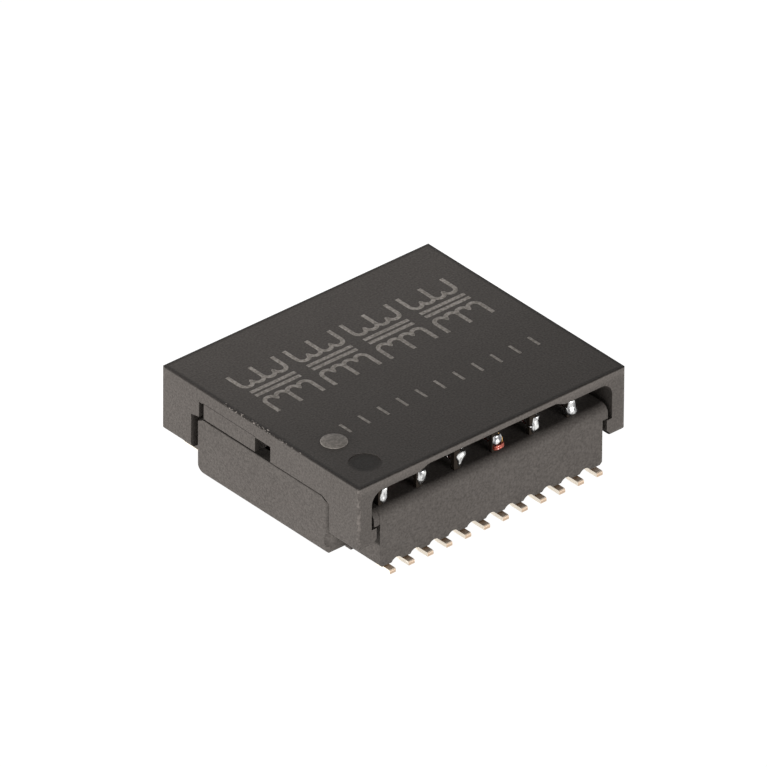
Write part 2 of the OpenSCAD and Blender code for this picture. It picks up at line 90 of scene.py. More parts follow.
class ModuleSizes(bpy.types.PropertyGroup):
    """Sizes of what is added to the frame."""

    wire: bpy.props.FloatProperty(
        name="Wire", description="Diameter of the enamelled wire on the posts",
        default=0.13 * MM, unit="LENGTH",
    )
    bare_wire: bpy.props.FloatProperty(
        name="Stray wire", description="Diameter of the thin wire that stands off one post",
        default=0.055 * MM, unit="LENGTH",
    )
    solder_wave: bpy.props.FloatProperty(
        name="Solder waves", description="How far the solder's surface wanders in and out",
        default=0.05 * MM, unit="LENGTH",
    )
    ink: bpy.props.FloatProperty(
        name="Marking height", description="How far the marking stands proud of the cover",
        default=0.006 * MM, unit="LENGTH",
    )
    stroke: bpy.props.FloatProperty(
        name="Marking stroke", description="Width of the lines of the marking",
        default=0.24 * MM, unit="LENGTH",
    )
    pin_dot: bpy.props.FloatProperty(
        name="Pin-one dot", description="Diameter of the dot beside lead one",
        default=1.42 * MM, unit="LENGTH",
    )


def linear(hex_code):
    """Turns an sRGB hex value into the linear RGBA that a shader takes."""
    channels = [int(hex_code[i : i + 2], 16) / 255 for i in (1, 3, 5)]
    return tuple(c / 12.92 if c <= 0.04045 else ((c + 0.055) / 1.055) ** 2.4 for c in channels) + (1.0,)


def colour(name, description, hex_code):
    """A colour setting, given as an sRGB hex value."""
    return bpy.props.FloatVectorProperty(
        name=name, description=description, default=linear(hex_code), size=4, min=0, max=1,
        subtype="COLOR",
    )


class ModuleColours(bpy.types.PropertyGroup):
    """Colours of the finishes."""

    plastic: colour("Plastic", "Moulded body", "#504c49")
    plastic_deep: colour("Deep plastic", "Moulded body, where the filler lies deeper", "#494542")
    plastic_worn: colour("Worn plastic", "Moulded body, where the filler shows", "#8f8782")
    marking: colour("Marking", "Light grey marking on the cover", "#a39d97")
    marking_deep: colour("Deep marking", "Marking where the laser bit less", "#78736d")
    dot: colour("Dot", "Pin-one dot, burnt more evenly than the marking", "#8f8983")
    dot_deep: colour("Deep dot", "Pin-one dot, where the laser bit less", "#716c67")
    tin: colour("Tin", "Plating on the flanks and tips of the feet", "#ebe2d4")
    # Aged tin with painted shade: the brown stands for the shade that the body casts on the feet's tops
    tin_aged_shaded: colour("Aged tin", "Plating on top of the feet, next to the body", "#b08c68")
    bronze: colour("Bronze", "Bare strip, where the feet were sheared off", "#b09c88")
    # Burnt flux with painted shade: near black also stands for the shade under the cover's plate
    flux: colour("Flux", "Burnt flux and enamel on the posts", "#2a2521")
    solder: colour("Solder", "Solder on the posts", "#e2e2e0")
    solder_dull: colour("Dull solder", "Frosty patches and streaks on the solder", "#6c6c6e")
    enamel: colour("Enamel", "Clear red enamel over copper", "#96402f")
    enamel_brown: colour("Brown enamel", "Enamel darkened by heat, on the wires in the tub", "#54231a")
    enamel_deep: colour("Deep enamel", "Enamel in the shade between strands", "#2c120c")
    enamel_gold: colour("Pale enamel", "Clear enamel over copper, on the stray wire", "#c79a55")
    ferrite: colour("Ferrite", "Sintered core", "#3a3a3c")
    silicone: colour("Silicone", "Bed under the cores", "#b9b6a8")
    paper: colour("Floor", "Plain pale floor", "#f4f3f1")


# Of the camera's sensor, in millimetres
SENSOR_WIDTH = 36


class StudioSettings(bpy.types.PropertyGroup):
    """The camera's place and the strength of the light."""

    azimuth: bpy.props.FloatProperty(
        name="Azimuth", description="Direction of view, clockwise from +Y",
        default=math.radians(41.14), unit="ROTATION",
    )
    elevation: bpy.props.FloatProperty(
        name="Elevation", description="Height of the view above the horizon",
        default=math.radians(32.78), unit="ROTATION",
    )
    roll: bpy.props.FloatProperty(
        name="Roll", description="Turn of the camera about its own line of sight",
        default=math.radians(0.45), unit="ROTATION",
    )
    distance: bpy.props.FloatProperty(
        name="Distance", description="From the camera to the cover", default=1.3569, unit="LENGTH",
    )
    lens: bpy.props.FloatProperty(
        name="Lens", description=f"Focal length on a {SENSOR_WIDTH} mm sensor, in millimetres",
        default=1250.3,
    )
    aim_left: bpy.props.FloatProperty(
        name="Aim left", description="How far left of the cover's middle the camera aims",
        default=0.520 * MM, unit="LENGTH",
    )
    aim_down: bpy.props.FloatProperty(
        name="Aim down", description="How far below the cover's middle the camera aims",
        default=0.914 * MM, unit="LENGTH",
    )
    sky: bpy.props.FloatProperty(
        name="Sky", description="Level of the even light from all round", default=0.06,
    )
    paper_glow: bpy.props.FloatProperty(
        name="Paper glow", description="Level of the light that the floor gives back", default=1.35,
    )
    end_light: bpy.props.FloatProperty(
        name="End light", description="Level of the light on the pin-one end", default=1.38,
    )
    side_light: bpy.props.FloatProperty(
        name="Side light", description="Level of the light on the row of leads in front", default=0.98,
    )
    back_light: bpy.props.FloatProperty(
        name="Back light", description="Level of the light on the far end and the far row", default=0.4,
    )
    strip_light: bpy.props.FloatProperty(
        name="Strip light", description="Level of the strip close above the far row", default=0.48,
    )


# ---- Shared steps ----

# Edges that turn by less than this are shaded smooth
SHARP_ANGLE = math.radians(45)


def deselect():
    """Leaves nothing selected, so that an operator works on the new piece alone."""
    bpy.ops.object.select_all(action="DESELECT")


def finish_piece(piece, name, material):
    """Puts the piece's place into its mesh, names it, gives it its finish and rides it on the part."""
    deselect()
    piece.select_set(True)
    bpy.context.view_layer.objects.active = piece
    bpy.ops.object.transform_apply(location=True, rotation=True, scale=True)
    bpy.ops.object.shade_smooth_by_angle(angle=SHARP_ANGLE)
    piece.name = piece.data.name = name
    piece.data.materials.clear()
    piece.data.materials.append(material)
    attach(piece, BODY)
    return piece


def apply_modifier(piece, kind, **settings):
    """Adds a modifier with its settings and applies it."""
    bpy.context.view_layer.objects.active = piece
    modifier = piece.modifiers.new(kind.title(), kind)
    for setting, value in settings.items():
        setattr(modifier, setting, value)
    bpy.ops.object.modifier_apply(modifier=modifier.name)


def wire_along(points, diameter, sides=6, order=4):
    """A round wire through points, as a closed mesh, selected and active."""
    deselect()
    bpy.ops.curve.primitive_nurbs_path_add()
    path = bpy.context.object
    path.data.splines.clear()
    spline = path.data.splines.new("NURBS")
    spline.points.add(len(points) - 1)
    for place, point in zip(spline.points, points):
        place.co = (*point, 1)
    spline.use_endpoint_u = True
    spline.order_u = order
    spline.resolution_u = 4
    path.data.bevel_depth = diameter / 2
    path.data.bevel_resolution = sides // 2 - 1
    path.data.use_fill_caps = True
    bpy.ops.object.convert(target="MESH")
    piece = bpy.context.object
    bpy.ops.object.mode_set(mode="EDIT")
    bpy.ops.mesh.select_all(action="SELECT")
    bpy.ops.mesh.remove_doubles(threshold=diameter / 1000)
    bpy.ops.mesh.normals_make_consistent(inside=False)
    bpy.ops.object.mode_set(mode="OBJECT")
    return piece


def join(pieces):
    """Joins pieces into the first one."""
    deselect()
    for piece in pieces:
        piece.select_set(True)
    bpy.context.view_layer.objects.active = pieces[0]
    bpy.ops.object.join()
    return bpy.context.object


# ---- Materials ----

# Every pattern reads the place in millimetres, so a noise's Scale is how many features it has in each

# The sockets of a colour mix, by number, because a mix node's other sockets have the same names
MIX_FACTOR, MIX_FIRST, MIX_SECOND, MIX_RESULT = 0, 6, 7, 2


def add_node(tree, kind, inputs=None, **settings):
    """Adds a node. inputs gives each socket a value, or the output that it is linked from."""
    node = tree.nodes.new(kind)
    for setting, value in settings.items():
        setattr(node, setting, value)
    for socket, value in (inputs or {}).items():
        if isinstance(value, bpy.types.NodeSocket):
            tree.links.new(value, node.inputs[socket])
        else:
            node.inputs[socket].default_value = value
    return node


def new_material(name):
    """An empty material: its node tree, and the place on the part in millimetres."""
    material = bpy.data.materials.new(name)
    material.use_nodes = True
    tree = material.node_tree
    tree.nodes.clear()
    place = add_node(tree, "ShaderNodeTexCoord")
    scaled = add_node(
        tree, "ShaderNodeVectorMath", {0: place.outputs["Object"], "Scale": PER_MM}, operation="SCALE"
    )
    return material, tree, scaled.outputs[0]


def set_surface(tree, shader):
    """Links a shader to the material's surface."""
    add_node(tree, "ShaderNodeOutputMaterial", {"Surface": shader.outputs[0]})


def moulded_phenolic(colours):
    """Glass-filled black phenolic, moulded in a spark-eroded cavity: nearly matte, with a fine even grain,
    slight clouds where the filler gathers, a darker disc where the ejector burnished the top, painted shade
    in a dark rim round the top's rounded edge and in the tongue's score, a painted sheen along the plate's
    long edges, and pale specks on the upright corners, which take the knocks."""
    material, tree, mm = new_material("moulded_phenolic")
    clouds = add_node(tree, "ShaderNodeTexNoise", {"Vector": mm, "Scale": 0.5, "Detail": 3.0})
    # The eroded grain is a few hundredths of a millimetre, and is drawn at a tenth so that it shows
    grain = add_node(tree, "ShaderNodeTexNoise", {"Vector": mm, "Scale": 9.0, "Detail": 3.0})
    body = add_node(tree, "ShaderNodeMix", {
        MIX_FACTOR: clouds.outputs[0],
        MIX_FIRST: tuple(colours.plastic_deep),
        MIX_SECOND: tuple(colours.plastic),
    }, data_type="RGBA")
    grains = add_node(tree, "ShaderNodeMapRange", {
        "Value": grain.outputs[0], "From Min": 0.3, "From Max": 0.7, "To Min": 0.76, "To Max": 1.24,
    })
    place = add_node(tree, "ShaderNodeSeparateXYZ", {0: mm})
    out_x = add_node(tree, "ShaderNodeMath", {0: place.outputs["X"]}, operation="ABSOLUTE")
    out_y = add_node(tree, "ShaderNodeMath", {0: place.outputs["Y"]}, operation="ABSOLUTE")
    tone = body.outputs[MIX_RESULT]
    for shade in (
        grains.outputs[0],
        ejector_disc(tree, mm),
        # Painted sheen along the plate's long edges
        painted_edge_sheen(tree, place.outputs["Z"], out_y.outputs[0]),
        # Painted shade on the top's rim and in the tongue's score
        painted_rim_and_score_shade(tree, place, out_x.outputs[0], out_y.outputs[0]),
    ):
        shaded = add_node(tree, "ShaderNodeVectorMath", {0: tone, "Scale": shade}, operation="SCALE")
        tone = shaded.outputs[0]
    worn = add_node(tree, "ShaderNodeMix", {
        MIX_FACTOR: corner_wear(tree, mm, out_x.outputs[0], out_y.outputs[0]),
        MIX_FIRST: tone,
        MIX_SECOND: tuple(colours.plastic_worn),
    }, data_type="RGBA")
    bump = add_node(tree, "ShaderNodeBump", {
        "Height": grain.outputs[0], "Strength": 1.0, "Distance": 0.01 * MM,
    })
    set_surface(tree, add_node(tree, "ShaderNodeBsdfPrincipled", {
        "Base Color": worn.outputs[MIX_RESULT],
        "Roughness": 0.62,
        "Specular IOR Level": 0.05,
        "Normal": bump.outputs[0],
    }))
    return material


def ejector_disc(tree, mm):
    """How much light the top gives back round the ejector's mark: 1 outside it, and less inside."""
    middle = Vector((COVER_LOW.x + EJECTOR_X, COVER_LOW.y + EJECTOR_Y, COVER_HIGH.z)) * PER_MM
    away = add_node(tree, "ShaderNodeVectorMath", {0: mm, 1: middle}, operation="DISTANCE")
    disc = add_node(tree, "ShaderNodeMapRange", {
        "Value": away.outputs["Value"], "From Min": 0.6, "From Max": 0.95, "To Min": 0.42, "To Max": 1.0,
    })
    return disc.outputs[0]


def painted_edge_sheen(tree, z, out_y):
    """Painted sheen on the plate's long edges: a factor that lightens their colour towards the top, and 1
    elsewhere.
    """
    top = COVER_HIGH.z * PER_MM
    long_side = add_node(tree, "ShaderNodeMath", {
        0: out_y, 1: COVER_HIGH.y * PER_MM - 0.02,
    }, operation="GREATER_THAN")
    upwards = add_node(tree, "ShaderNodeMapRange", {
        "Value": z, "From Min": top - 0.6, "From Max": top - 0.2, "To Min": 0.0, "To Max": 0.3,
    })
    sheen = add_node(tree, "ShaderNodeMath", {
        0: long_side.outputs[0], 1: upwards.outputs[0], 2: 1.0,
    }, operation="MULTIPLY_ADD")
    return sheen.outputs[0]


def painted_rim_and_score_shade(tree, place, out_x, out_y):
    """Painted shade on the cover: a factor that darkens its top's rounded rim and the tongue's score, and 1
    elsewhere.
    """
    top = COVER_HIGH.z * PER_MM
    past_x = add_node(tree, "ShaderNodeMath", {0: out_x, 1: COVER_HIGH.x * PER_MM}, operation="SUBTRACT")
    past_y = add_node(tree, "ShaderNodeMath", {0: out_y, 1: COVER_HIGH.y * PER_MM}, operation="SUBTRACT")
    # Painted shade: a dark rim along the top's rounded edge, on the top and on the side's upper edge
    from_edge = add_node(tree, "ShaderNodeMath", {
        0: past_x.outputs[0], 1: past_y.outputs[0],
    }, operation="MAXIMUM")
    by_edge = add_node(tree, "ShaderNodeMapRange", {
        "Value": from_edge.outputs[0], "From Min": -0.3, "From Max": -0.14, "To Max": 0.5,
    })
    on_top = add_node(tree, "ShaderNodeMapRange", {
        "Value": place.outputs["Z"], "From Min": top - 0.08, "From Max": top - 0.04,
    })
    rim = add_node(tree, "ShaderNodeMath", {
        0: by_edge.outputs[0], 1: on_top.outputs[0],
    }, operation="MULTIPLY")
    at_height = add_node(tree, "ShaderNodeMath", {
        0: place.outputs["Z"], 1: top - SCORE_DROP * PER_MM, 2: 0.05,
    }, operation="COMPARE")
    along = add_node(tree, "ShaderNodeMath", {
        0: place.outputs["Y"], 1: SCORE_Y * PER_MM, 2: SCORE_LENGTH / 2 * PER_MM,
    }, operation="COMPARE")
    score = add_node(tree, "ShaderNodeMath", {
        0: at_height.outputs[0], 1: along.outputs[0],
    }, operation="MULTIPLY")
    # Painted shade in the score, halving its colour
    painted_score_shade = add_node(tree, "ShaderNodeMath", {0: score.outputs[0], 1: 0.5}, operation="MULTIPLY")
    dark = add_node(tree, "ShaderNodeMath", {0: rim.outputs[0], 1: painted_score_shade.outputs[0]}, operation="MAXIMUM")
    light = add_node(tree, "ShaderNodeMath", {0: 1.0, 1: dark.outputs[0]}, operation="SUBTRACT")
    return light.outputs[0]


def corner_wear(tree, mm, out_x, out_y):
    """Share of the surface that is rubbed pale: specks on the cover's four upright corners."""
    corner = (COVER_HIGH.x + COVER_HIGH.y) * PER_MM
    specks = add_node(tree, "ShaderNodeTexNoise", {"Vector": mm, "Scale": 4.0, "Detail": 4.0})
    rubbed = add_node(tree, "ShaderNodeMapRange", {
        "Value": specks.outputs[0], "From Min": 0.5, "From Max": 0.66, "To Max": 0.22,
    })
    out = add_node(tree, "ShaderNodeMath", {0: out_x, 1: out_y}, operation="ADD")
    by_corner = add_node(tree, "ShaderNodeMapRange", {
        "Value": out.outputs[0], "From Min": corner - 0.2, "From Max": corner - 0.12,
    })
    wear = add_node(tree, "ShaderNodeMath", {
        0: rubbed.outputs[0], 1: by_corner.outputs[0],
    }, operation="MULTIPLY")
    return wear.outputs[0]


def torn_flash(colours):
    """Flash torn off along an edge: the fresh breaks show pale filler beside dark resin."""
    material, tree, mm = new_material("torn_flash")
    crumbs = add_node(tree, "ShaderNodeTexNoise", {"Vector": mm, "Scale": 5.0, "Detail": 2.0})
    broken = add_node(tree, "ShaderNodeMapRange", {
        "Value": crumbs.outputs[0], "From Min": 0.48, "From Max": 0.58,
    })
    tone = add_node(tree, "ShaderNodeMix", {
        MIX_FACTOR: broken.outputs[0],
        MIX_FIRST: tuple(colours.plastic_deep),
        MIX_SECOND: tuple(colours.plastic_worn),
    }, data_type="RGBA")
    set_surface(tree, add_node(tree, "ShaderNodeBsdfPrincipled", {
        "Base Color": tone.outputs[MIX_RESULT],
        "Roughness": 0.7,
        "Specular IOR Level": 0.1,
    }))
    return material


def tin_plated_strip(colours):
    """Phosphor-bronze strip under matte tin: satin and pale on the flanks, a dull brown of aged tin and
    painted shade on top next to the body, and bare where the tip was sheared off. The posts are black: burnt
    flux and painted shade."""
    material, tree, mm = new_material("tin_plated_strip")
    parts = add_node(tree, "ShaderNodeSeparateXYZ", {0: mm})
    out = add_node(tree, "ShaderNodeMath", {0: parts.outputs["Y"]}, operation="ABSOLUTE")
    toe = abs(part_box(LEADS[0])[0].y) * PER_MM
    # Aged tin and painted shade: the feet's tops are brown towards the body, and only their toes turn pale
    fresh = add_node(tree, "ShaderNodeMapRange", {
        "Value": out.outputs[0], "From Min": toe - 0.45, "From Max": toe - 0.12,
    })
    mottle = add_node(tree, "ShaderNodeTexNoise", {"Vector": mm, "Scale": 5.0, "Detail": 3.0})
    patchy = add_node(tree, "ShaderNodeMath", {
        0: fresh.outputs[0], 1: mottle.outputs[0], 2: 0.1,
    }, operation="MULTIPLY_ADD")
    facing = add_node(tree, "ShaderNodeNewGeometry")
    towards = add_node(tree, "ShaderNodeSeparateXYZ", {0: facing.outputs["Normal"]})
    # Flanks take the pale tin and the tops the brown, as lit and shaded copies of the plating
    flank = add_node(tree, "ShaderNodeMapRange", {
        "Value": towards.outputs["Z"], "From Min": 0.7, "From Max": 0.2,
    })
    endwise = add_node(tree, "ShaderNodeMath", {0: towards.outputs["Y"]}, operation="ABSOLUTE")
    sheared = add_node(tree, "ShaderNodeMapRange", {
        "Value": endwise.outputs[0], "From Min": 0.5, "From Max": 0.9,
    })
    bright = add_node(tree, "ShaderNodeMath", {
        0: patchy.outputs[0], 1: flank.outputs[0],
    }, operation="MAXIMUM")
    plating = add_node(tree, "ShaderNodeMix", {
        MIX_FACTOR: bright.outputs[0],
        MIX_FIRST: tuple(colours.tin_aged_shaded),
        MIX_SECOND: tuple(colours.tin),
    }, data_type="RGBA", clamp_factor=True)
    strip = add_node(tree, "ShaderNodeMix", {
        MIX_FACTOR: sheared.outputs[0],
        MIX_FIRST: plating.outputs[MIX_RESULT],
        MIX_SECOND: tuple(colours.bronze),
    }, data_type="RGBA")
    # Matte tin's crystals are a few thousandths of a millimetre, and are drawn far coarser so that they show
    crystals = add_node(tree, "ShaderNodeTexNoise", {"Vector": mm, "Scale": 14.0, "Detail": 2.0})
    bump = add_node(tree, "ShaderNodeBump", {
        "Height": crystals.outputs[0], "Strength": 1.0, "Distance": 0.004 * MM,
    })
    satin = add_node(tree, "ShaderNodeMapRange", {
        "Value": mottle.outputs[0], "To Min": 0.4, "To Max": 0.6,
    })
    plated = add_node(tree, "ShaderNodeBsdfPrincipled", {
        "Base Color": strip.outputs[MIX_RESULT],
        "Metallic": flank.outputs[0],
        "Roughness": satin.outputs[0],
        "Normal": bump.outputs[0],
    })
    # Near black for burnt flux, and painted shade under the cover's plate
    burnt = add_node(tree, "ShaderNodeBsdfPrincipled", {
        "Base Color": tuple(colours.flux),
        "Roughness": 0.8,
        "Specular IOR Level": 0.0,
        "Normal": bump.outputs[0],
    })
    # The border between the two lies inside the block, out of sight
    post = add_node(tree, "ShaderNodeMath", {
        0: parts.outputs["Z"], 1: SOLDER_BASE * PER_MM - 0.2,
    }, operation="GREATER_THAN")
    set_surface(tree, add_node(tree, "ShaderNodeMixShader", {
        0: post.outputs[0], 1: plated.outputs[0], 2: burnt.outputs[0],
    }))
    return material


def solder_alloy(colours):
    """Tin-silver-copper solder, dipped and drawn up as it set: bright metal with grey frosty streaks."""
    material, tree, mm = new_material("solder_alloy")
    drawn = add_node(tree, "ShaderNodeMapping", {"Vector": mm, "Scale": (6.0, 6.0, 2.5)})
    frost = add_node(tree, "ShaderNodeTexNoise", {"Vector": drawn.outputs[0], "Scale": 1.0, "Detail": 3.0})
    streaks = add_node(tree, "ShaderNodeMapRange", {
        "Value": frost.outputs[0], "From Min": 0.38, "From Max": 0.6,
    })
    tone = add_node(tree, "ShaderNodeMix", {
        MIX_FACTOR: streaks.outputs[0],
        MIX_FIRST: tuple(colours.solder_dull),
        MIX_SECOND: tuple(colours.solder),
    }, data_type="RGBA")
    sheen = add_node(tree, "ShaderNodeMapRange", {
        "Value": frost.outputs[0], "From Min": 0.3, "From Max": 0.7, "To Min": 0.34, "To Max": 0.16,
    })
    bump = add_node(tree, "ShaderNodeBump", {
        "Height": frost.outputs[0], "Strength": 1.0, "Distance": 0.03 * MM,
    })
    set_surface(tree, add_node(tree, "ShaderNodeBsdfPrincipled", {
        "Base Color": tone.outputs[MIX_RESULT],
        "Metallic": 1.0,
        "Roughness": sheen.outputs[0],
        "Normal": bump.outputs[0],
    }))
    return material


def enamelled_copper(name, enamel, copper):
    """Magnet wire, copper drawn through enamel: a glossy clear coat over metal, twisted in fine strands that
    show as slanting bands, at about the thickness of one strand."""
    material, tree, mm = new_material(name)
    # Light and dark bands repeat every 0.36 / Scale = 0.16 mm
    twist = add_node(tree, "ShaderNodeTexWave", {
        "Vector": mm, "Scale": 2.2, "Distortion": 1.0, "Detail": 1.0,
    }, bands_direction="DIAGONAL")
    # The second colour fills the dark bands; on the tub's wire it is enamel_deep, painted shade between
    # strands
    strands = add_node(tree, "ShaderNodeMix", {
        MIX_FACTOR: twist.outputs["Fac"], MIX_FIRST: tuple(enamel), MIX_SECOND: tuple(copper),
    }, data_type="RGBA")
    bump = add_node(tree, "ShaderNodeBump", {
        "Height": twist.outputs["Fac"], "Strength": 1.0, "Distance": 0.01 * MM,
    })
    set_surface(tree, add_node(tree, "ShaderNodeBsdfPrincipled", {
        "Base Color": strands.outputs[MIX_RESULT],
        "Metallic": 0.45,
        "Roughness": 0.38,
        "Coat Weight": 0.6,
        "Coat Roughness": 0.12,
        "Normal": bump.outputs[0],
    }))
    return material


def sintered_ferrite(colours):
    """Pressed and sintered manganese-zinc ferrite: dull dark grey with an open, sandy grain."""
    material, tree, mm = new_material("sintered_ferrite")
    # Its grains are about a hundredth of a millimetre, and are drawn coarser so that they show
    sand = add_node(tree, "ShaderNodeTexNoise", {"Vector": mm, "Scale": 12.0, "Detail": 3.0})
    lighter = add_node(tree, "ShaderNodeMapRange", {
        "Value": sand.outputs[0], "From Min": 0.3, "From Max": 0.7, "To Min": 0.7, "To Max": 1.4,
    })
    tone = add_node(tree, "ShaderNodeVectorMath", {
        0: tuple(colours.ferrite)[:3], "Scale": lighter.outputs[0],
    }, operation="SCALE")
    bump = add_node(tree, "ShaderNodeBump", {
        "Height": sand.outputs[0], "Strength": 1.0, "Distance": 0.015 * MM,
    })
    set_surface(tree, add_node(tree, "ShaderNodeBsdfPrincipled", {
        "Base Color": tone.outputs[0],
        "Roughness": 0.7,
        "Specular IOR Level": 0.4,
        "Normal": bump.outputs[0],
    }))
    return material


def silicone_rubber(colours):
    """Self-levelling silicone: milky, soft gloss, with faint unevenness where it crept up the cores."""
    material, tree, mm = new_material("silicone_rubber")
    creep = add_node(tree, "ShaderNodeTexNoise", {"Vector": mm, "Scale": 1.2, "Detail": 2.0})
    milk = add_node(tree, "ShaderNodeMapRange", {
        "Value": creep.outputs[0], "From Min": 0.3, "From Max": 0.7, "To Min": 0.85, "To Max": 1.1,
    })
    tone = add_node(tree, "ShaderNodeVectorMath", {
        0: tuple(colours.silicone)[:3], "Scale": milk.outputs[0],
    }, operation="SCALE")
    bump = add_node(tree, "ShaderNodeBump", {
        "Height": creep.outputs[0], "Strength": 1.0, "Distance": 0.05 * MM,
    })
    set_surface(tree, add_node(tree, "ShaderNodeBsdfPrincipled", {
        "Base Color": tone.outputs[0],
        "Roughness": 0.4,
        "IOR": 1.41,
        "Normal": bump.outputs[0],
    }))
    return material


def laser_marking(name, pale, deep):
    """Plastic foamed by a marking laser: paler, drier and coarser than the moulded skin around it."""
    material, tree, mm = new_material(name)
    # Foam's cells are a few hundredths of a millimetre, and are drawn coarser so that they show
    foam = add_node(tree, "ShaderNodeTexNoise", {"Vector": mm, "Scale": 7.0, "Detail": 3.0})
    spread = add_node(tree, "ShaderNodeMapRange", {
        "Value": foam.outputs[0], "From Min": 0.35, "From Max": 0.65,
    })
    tone = add_node(tree, "ShaderNodeMix", {
        MIX_FACTOR: spread.outputs[0],
        MIX_FIRST: tuple(deep),
        MIX_SECOND: tuple(pale),
    }, data_type="RGBA")
    bump = add_node(tree, "ShaderNodeBump", {
        "Height": foam.outputs[0], "Strength": 1.0, "Distance": 0.02 * MM,
    })
    set_surface(tree, add_node(tree, "ShaderNodeBsdfPrincipled", {
        "Base Color": tone.outputs[MIX_RESULT],
        "Roughness": 0.8,
        "Specular IOR Level": 0.2,
        "Normal": bump.outputs[0],
    }))
    return material


def seen_rays(tree):
    """A Light Path node, and 1 where the background itself is seen: direct, mirrored or through glass."""
    rays = add_node(tree, "ShaderNodeLightPath")
    direct = add_node(tree, "ShaderNodeMath", {
        0: rays.outputs["Is Camera Ray"], 1: rays.outputs["Is Glossy Ray"],
    }, operation="MAXIMUM")
    seen = add_node(tree, "ShaderNodeMath", {
        0: direct.outputs[0], 1: rays.outputs["Is Transmission Ray"],
    }, operation="MAXIMUM")
    return rays, seen.outputs[0]


def pale_paper(colours, glow):
    """Seamless background paper under strong light: it shows white with the part's faint shadow, glows up at
    the part's sides, and is clear from below."""
    material, tree, _ = new_material("pale_paper")
    rays, seen = seen_rays(tree)
    paper = add_node(tree, "ShaderNodeEmission", {"Color": tuple(colours.paper), "Strength": glow})
    # Almost white by itself, and a mid grey under the lamps carries it to white, except in the part's shadow
    shaded = add_node(tree, "ShaderNodeBsdfDiffuse", {"Color": linear("#8a8a8a")})
    white = add_node(tree, "ShaderNodeEmission", {"Strength": 0.97})
    shown = add_node(tree, "ShaderNodeAddShader", {0: shaded.outputs[0], 1: white.outputs[0]})
    either = add_node(tree, "ShaderNodeMixShader", {0: seen, 1: paper.outputs[0], 2: shown.outputs[0]})
    side = add_node(tree, "ShaderNodeNewGeometry")
    below = add_node(tree, "ShaderNodeMath", {
        0: side.outputs["Backfacing"], 1: rays.outputs["Is Camera Ray"],
    }, operation="MULTIPLY")
    clear = add_node(tree, "ShaderNodeBsdfTransparent")
    set_surface(tree, add_node(tree, "ShaderNodeMixShader", {
        0: below.outputs[0], 1: either.outputs[0], 2: clear.outputs[0],
    }))
    return material


# ---- Pieces ----


def dress_nodes(starts, material):
    """Gives its finish to every CAD node whose name starts with one of starts."""
    for name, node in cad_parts.items():
        if name.startswith(starts):
            node.data.materials.clear()
            node.data.materials.append(material)


class MODULE_OT_mouldings(bpy.types.Operator):
    """Finish the cover and the header as moulded phenolic"""

    bl_idname = "module.mouldings"
    bl_label = "Mouldings"

    def execute(self, context):
        dress_nodes(("cover", "header"), moulded_phenolic(context.scene.module_colours))
        return {"FINISHED"}


class MODULE_OT_leads(bpy.types.Operator):
    """Finish the leads as tin-plated strip"""

    bl_idname = "module.leads"
    bl_label = "Leads"

    def execute(self, context):
        dress_nodes("lead_", tin_plated_strip(context.scene.module_colours))
        return {"FINISHED"}


class MODULE_OT_magnetics(bpy.types.Operator):
    """Finish the cores, their windings and wires, and the silicone they stand in"""

    bl_idname = "module.magnetics"
    bl_label = "Magnetics"

    def execute(self, context):
        colours = context.scene.module_colours
        # The tub's wire takes painted shade between its strands as its dark bands
        wire = enamelled_copper("enamelled_copper", colours.enamel_brown, colours.enamel_deep)
        dress_nodes(("transformer_core", "choke_core"), sintered_ferrite(colours))
        dress_nodes(("transformer_winding", "choke_winding"), wire)
        dress_nodes(("front_lead_outs", "back_lead_outs", "link_wires"), wire)
        dress_nodes("silicone_bed", silicone_rubber(colours))
        return {"FINISHED"}


# A solder joint's half widths in millimetres from foot to crown, the height of its belly as a share of the
# whole, its lean in millimetres and twist in degrees over its height, the bare turns of wire left under it,
# and whether it has a side nub
JointShape = namedtuple("JointShape", "foot belly belly_at waist crown lean twist bare_turns nub")
JOINT_SHAPES = (
    JointShape(0.15, 0.30, 0.30, 0.22, 0.19, 0.10, 25, 0, False),
    JointShape(0.15, 0.29, 0.45, 0.27, 0.26, 0.06, -20, 0, False),
    JointShape(0.09, 0.29, 0.62, 0.28, 0.25, 0.18, 40, 0, False),
    JointShape(0.22, 0.29, 0.40, 0.27, 0.26, 0.04, 15, 2, False),
    JointShape(0.14, 0.26, 0.25, 0.20, 0.23, 0.14, -45, 0, True),
    JointShape(0.26, 0.37, 0.24, 0.28, 0.22, 0.00, 0, 0, False),
)
# The solder sits off the middle of its post, to the right as seen from outside, and outwards
SOLDER_ASIDE, SOLDER_OUT = 0.11 * MM, 0.06 * MM
# A post is a flat strip, so its solder is wider along the row than across it
ALONG_ROW, ACROSS_ROW = 1.15, 0.85
# Solder without bare turns starts this far below the plain joint's foot
FOOT_DROP = 0.04 * MM
# How far each bare turn lifts the solder's foot, in diameters of the wire
TURN_LIFT = 1.1
# Bare turns bulge a little further to the right than the solder
WRAP_ASIDE = 0.09 * MM
# The lead that the stray wire stands off
STRAY_LEAD = 7
# noise_vector starts from the clock unless it is given a seed
SOLDER_SEED, FLASH_SEED = 3, 11


def row_sign(number):
    """1 in the front row and -1 in the back row, which is the front row turned half round."""
    return 1 if number <= SIDE_LEADS else -1


def joint_shape(number):
    """The shape of a lead's joint. Every shape comes once in the outer row and once in the inner row."""
    place = (number - 1) % SIDE_LEADS
    return JOINT_SHAPES[(place // 2 + 3 * (place % 2)) % len(JOINT_SHAPES)]


def joint_middle(number):
    """The middle of a lead's solder, which sits off the middle of its post."""
    return lead_middle(number) + row_sign(number) * Vector((SOLDER_ASIDE, -SOLDER_OUT, 0))


def joint_foot(number, wire):
    """The height at which a lead's solder starts, above any bare turns."""
    return SOLDER_BASE - FOOT_DROP + joint_shape(number).bare_turns * wire * TURN_LIFT


